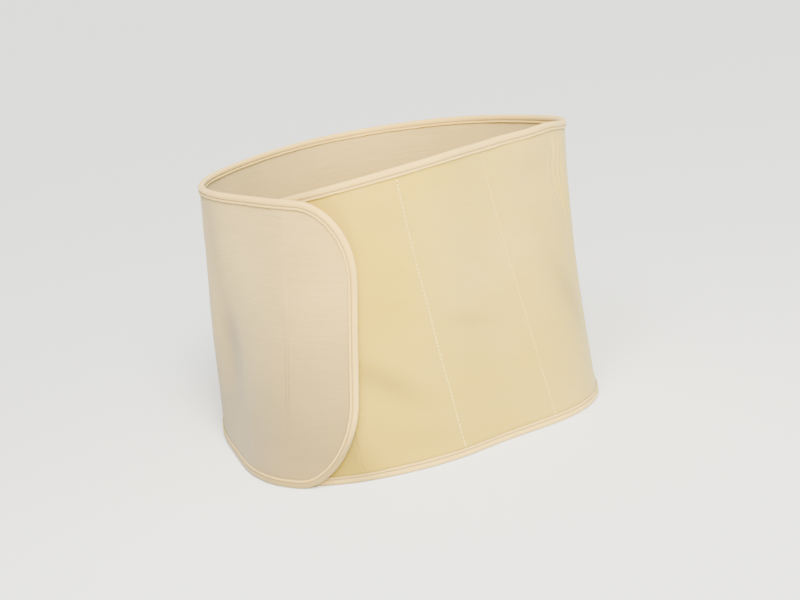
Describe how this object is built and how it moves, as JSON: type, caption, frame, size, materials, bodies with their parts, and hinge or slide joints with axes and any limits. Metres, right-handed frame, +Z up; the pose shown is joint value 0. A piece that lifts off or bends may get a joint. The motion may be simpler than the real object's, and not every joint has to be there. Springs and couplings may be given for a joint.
{
  "type": "abdominal binder",
  "caption": "Wide elastic wrap for the abdomen, closed into an upright oval loop by a rounded flap at the front, with taped edges and a knitted lining.",
  "frame": {"origin": "middle of the footprint, on the plane the lower edge stands on", "axes": "+X towards the wearer's left side; -Y towards the front, where the flap closes; +Z up towards the waist edge"},
  "size_m": [0.3624, 0.376, 0.2365],
  "materials": {
    "panel": "smooth brushed loop knit",
    "flap": "fine matte knit",
    "lining": "fine matte knit",
    "binding": "soft folded tape",
    "hook": "rough short hooks"
  },
  "bodies": {
    "root": {"outer_panel": "panel", "flap": "flap", "lining": "lining", "top_binding": "binding", "bottom_binding": "binding", "flap_binding": "binding", "inner_end_binding": "binding", "hook_patch": "hook"}
  },
  "joints": []
}
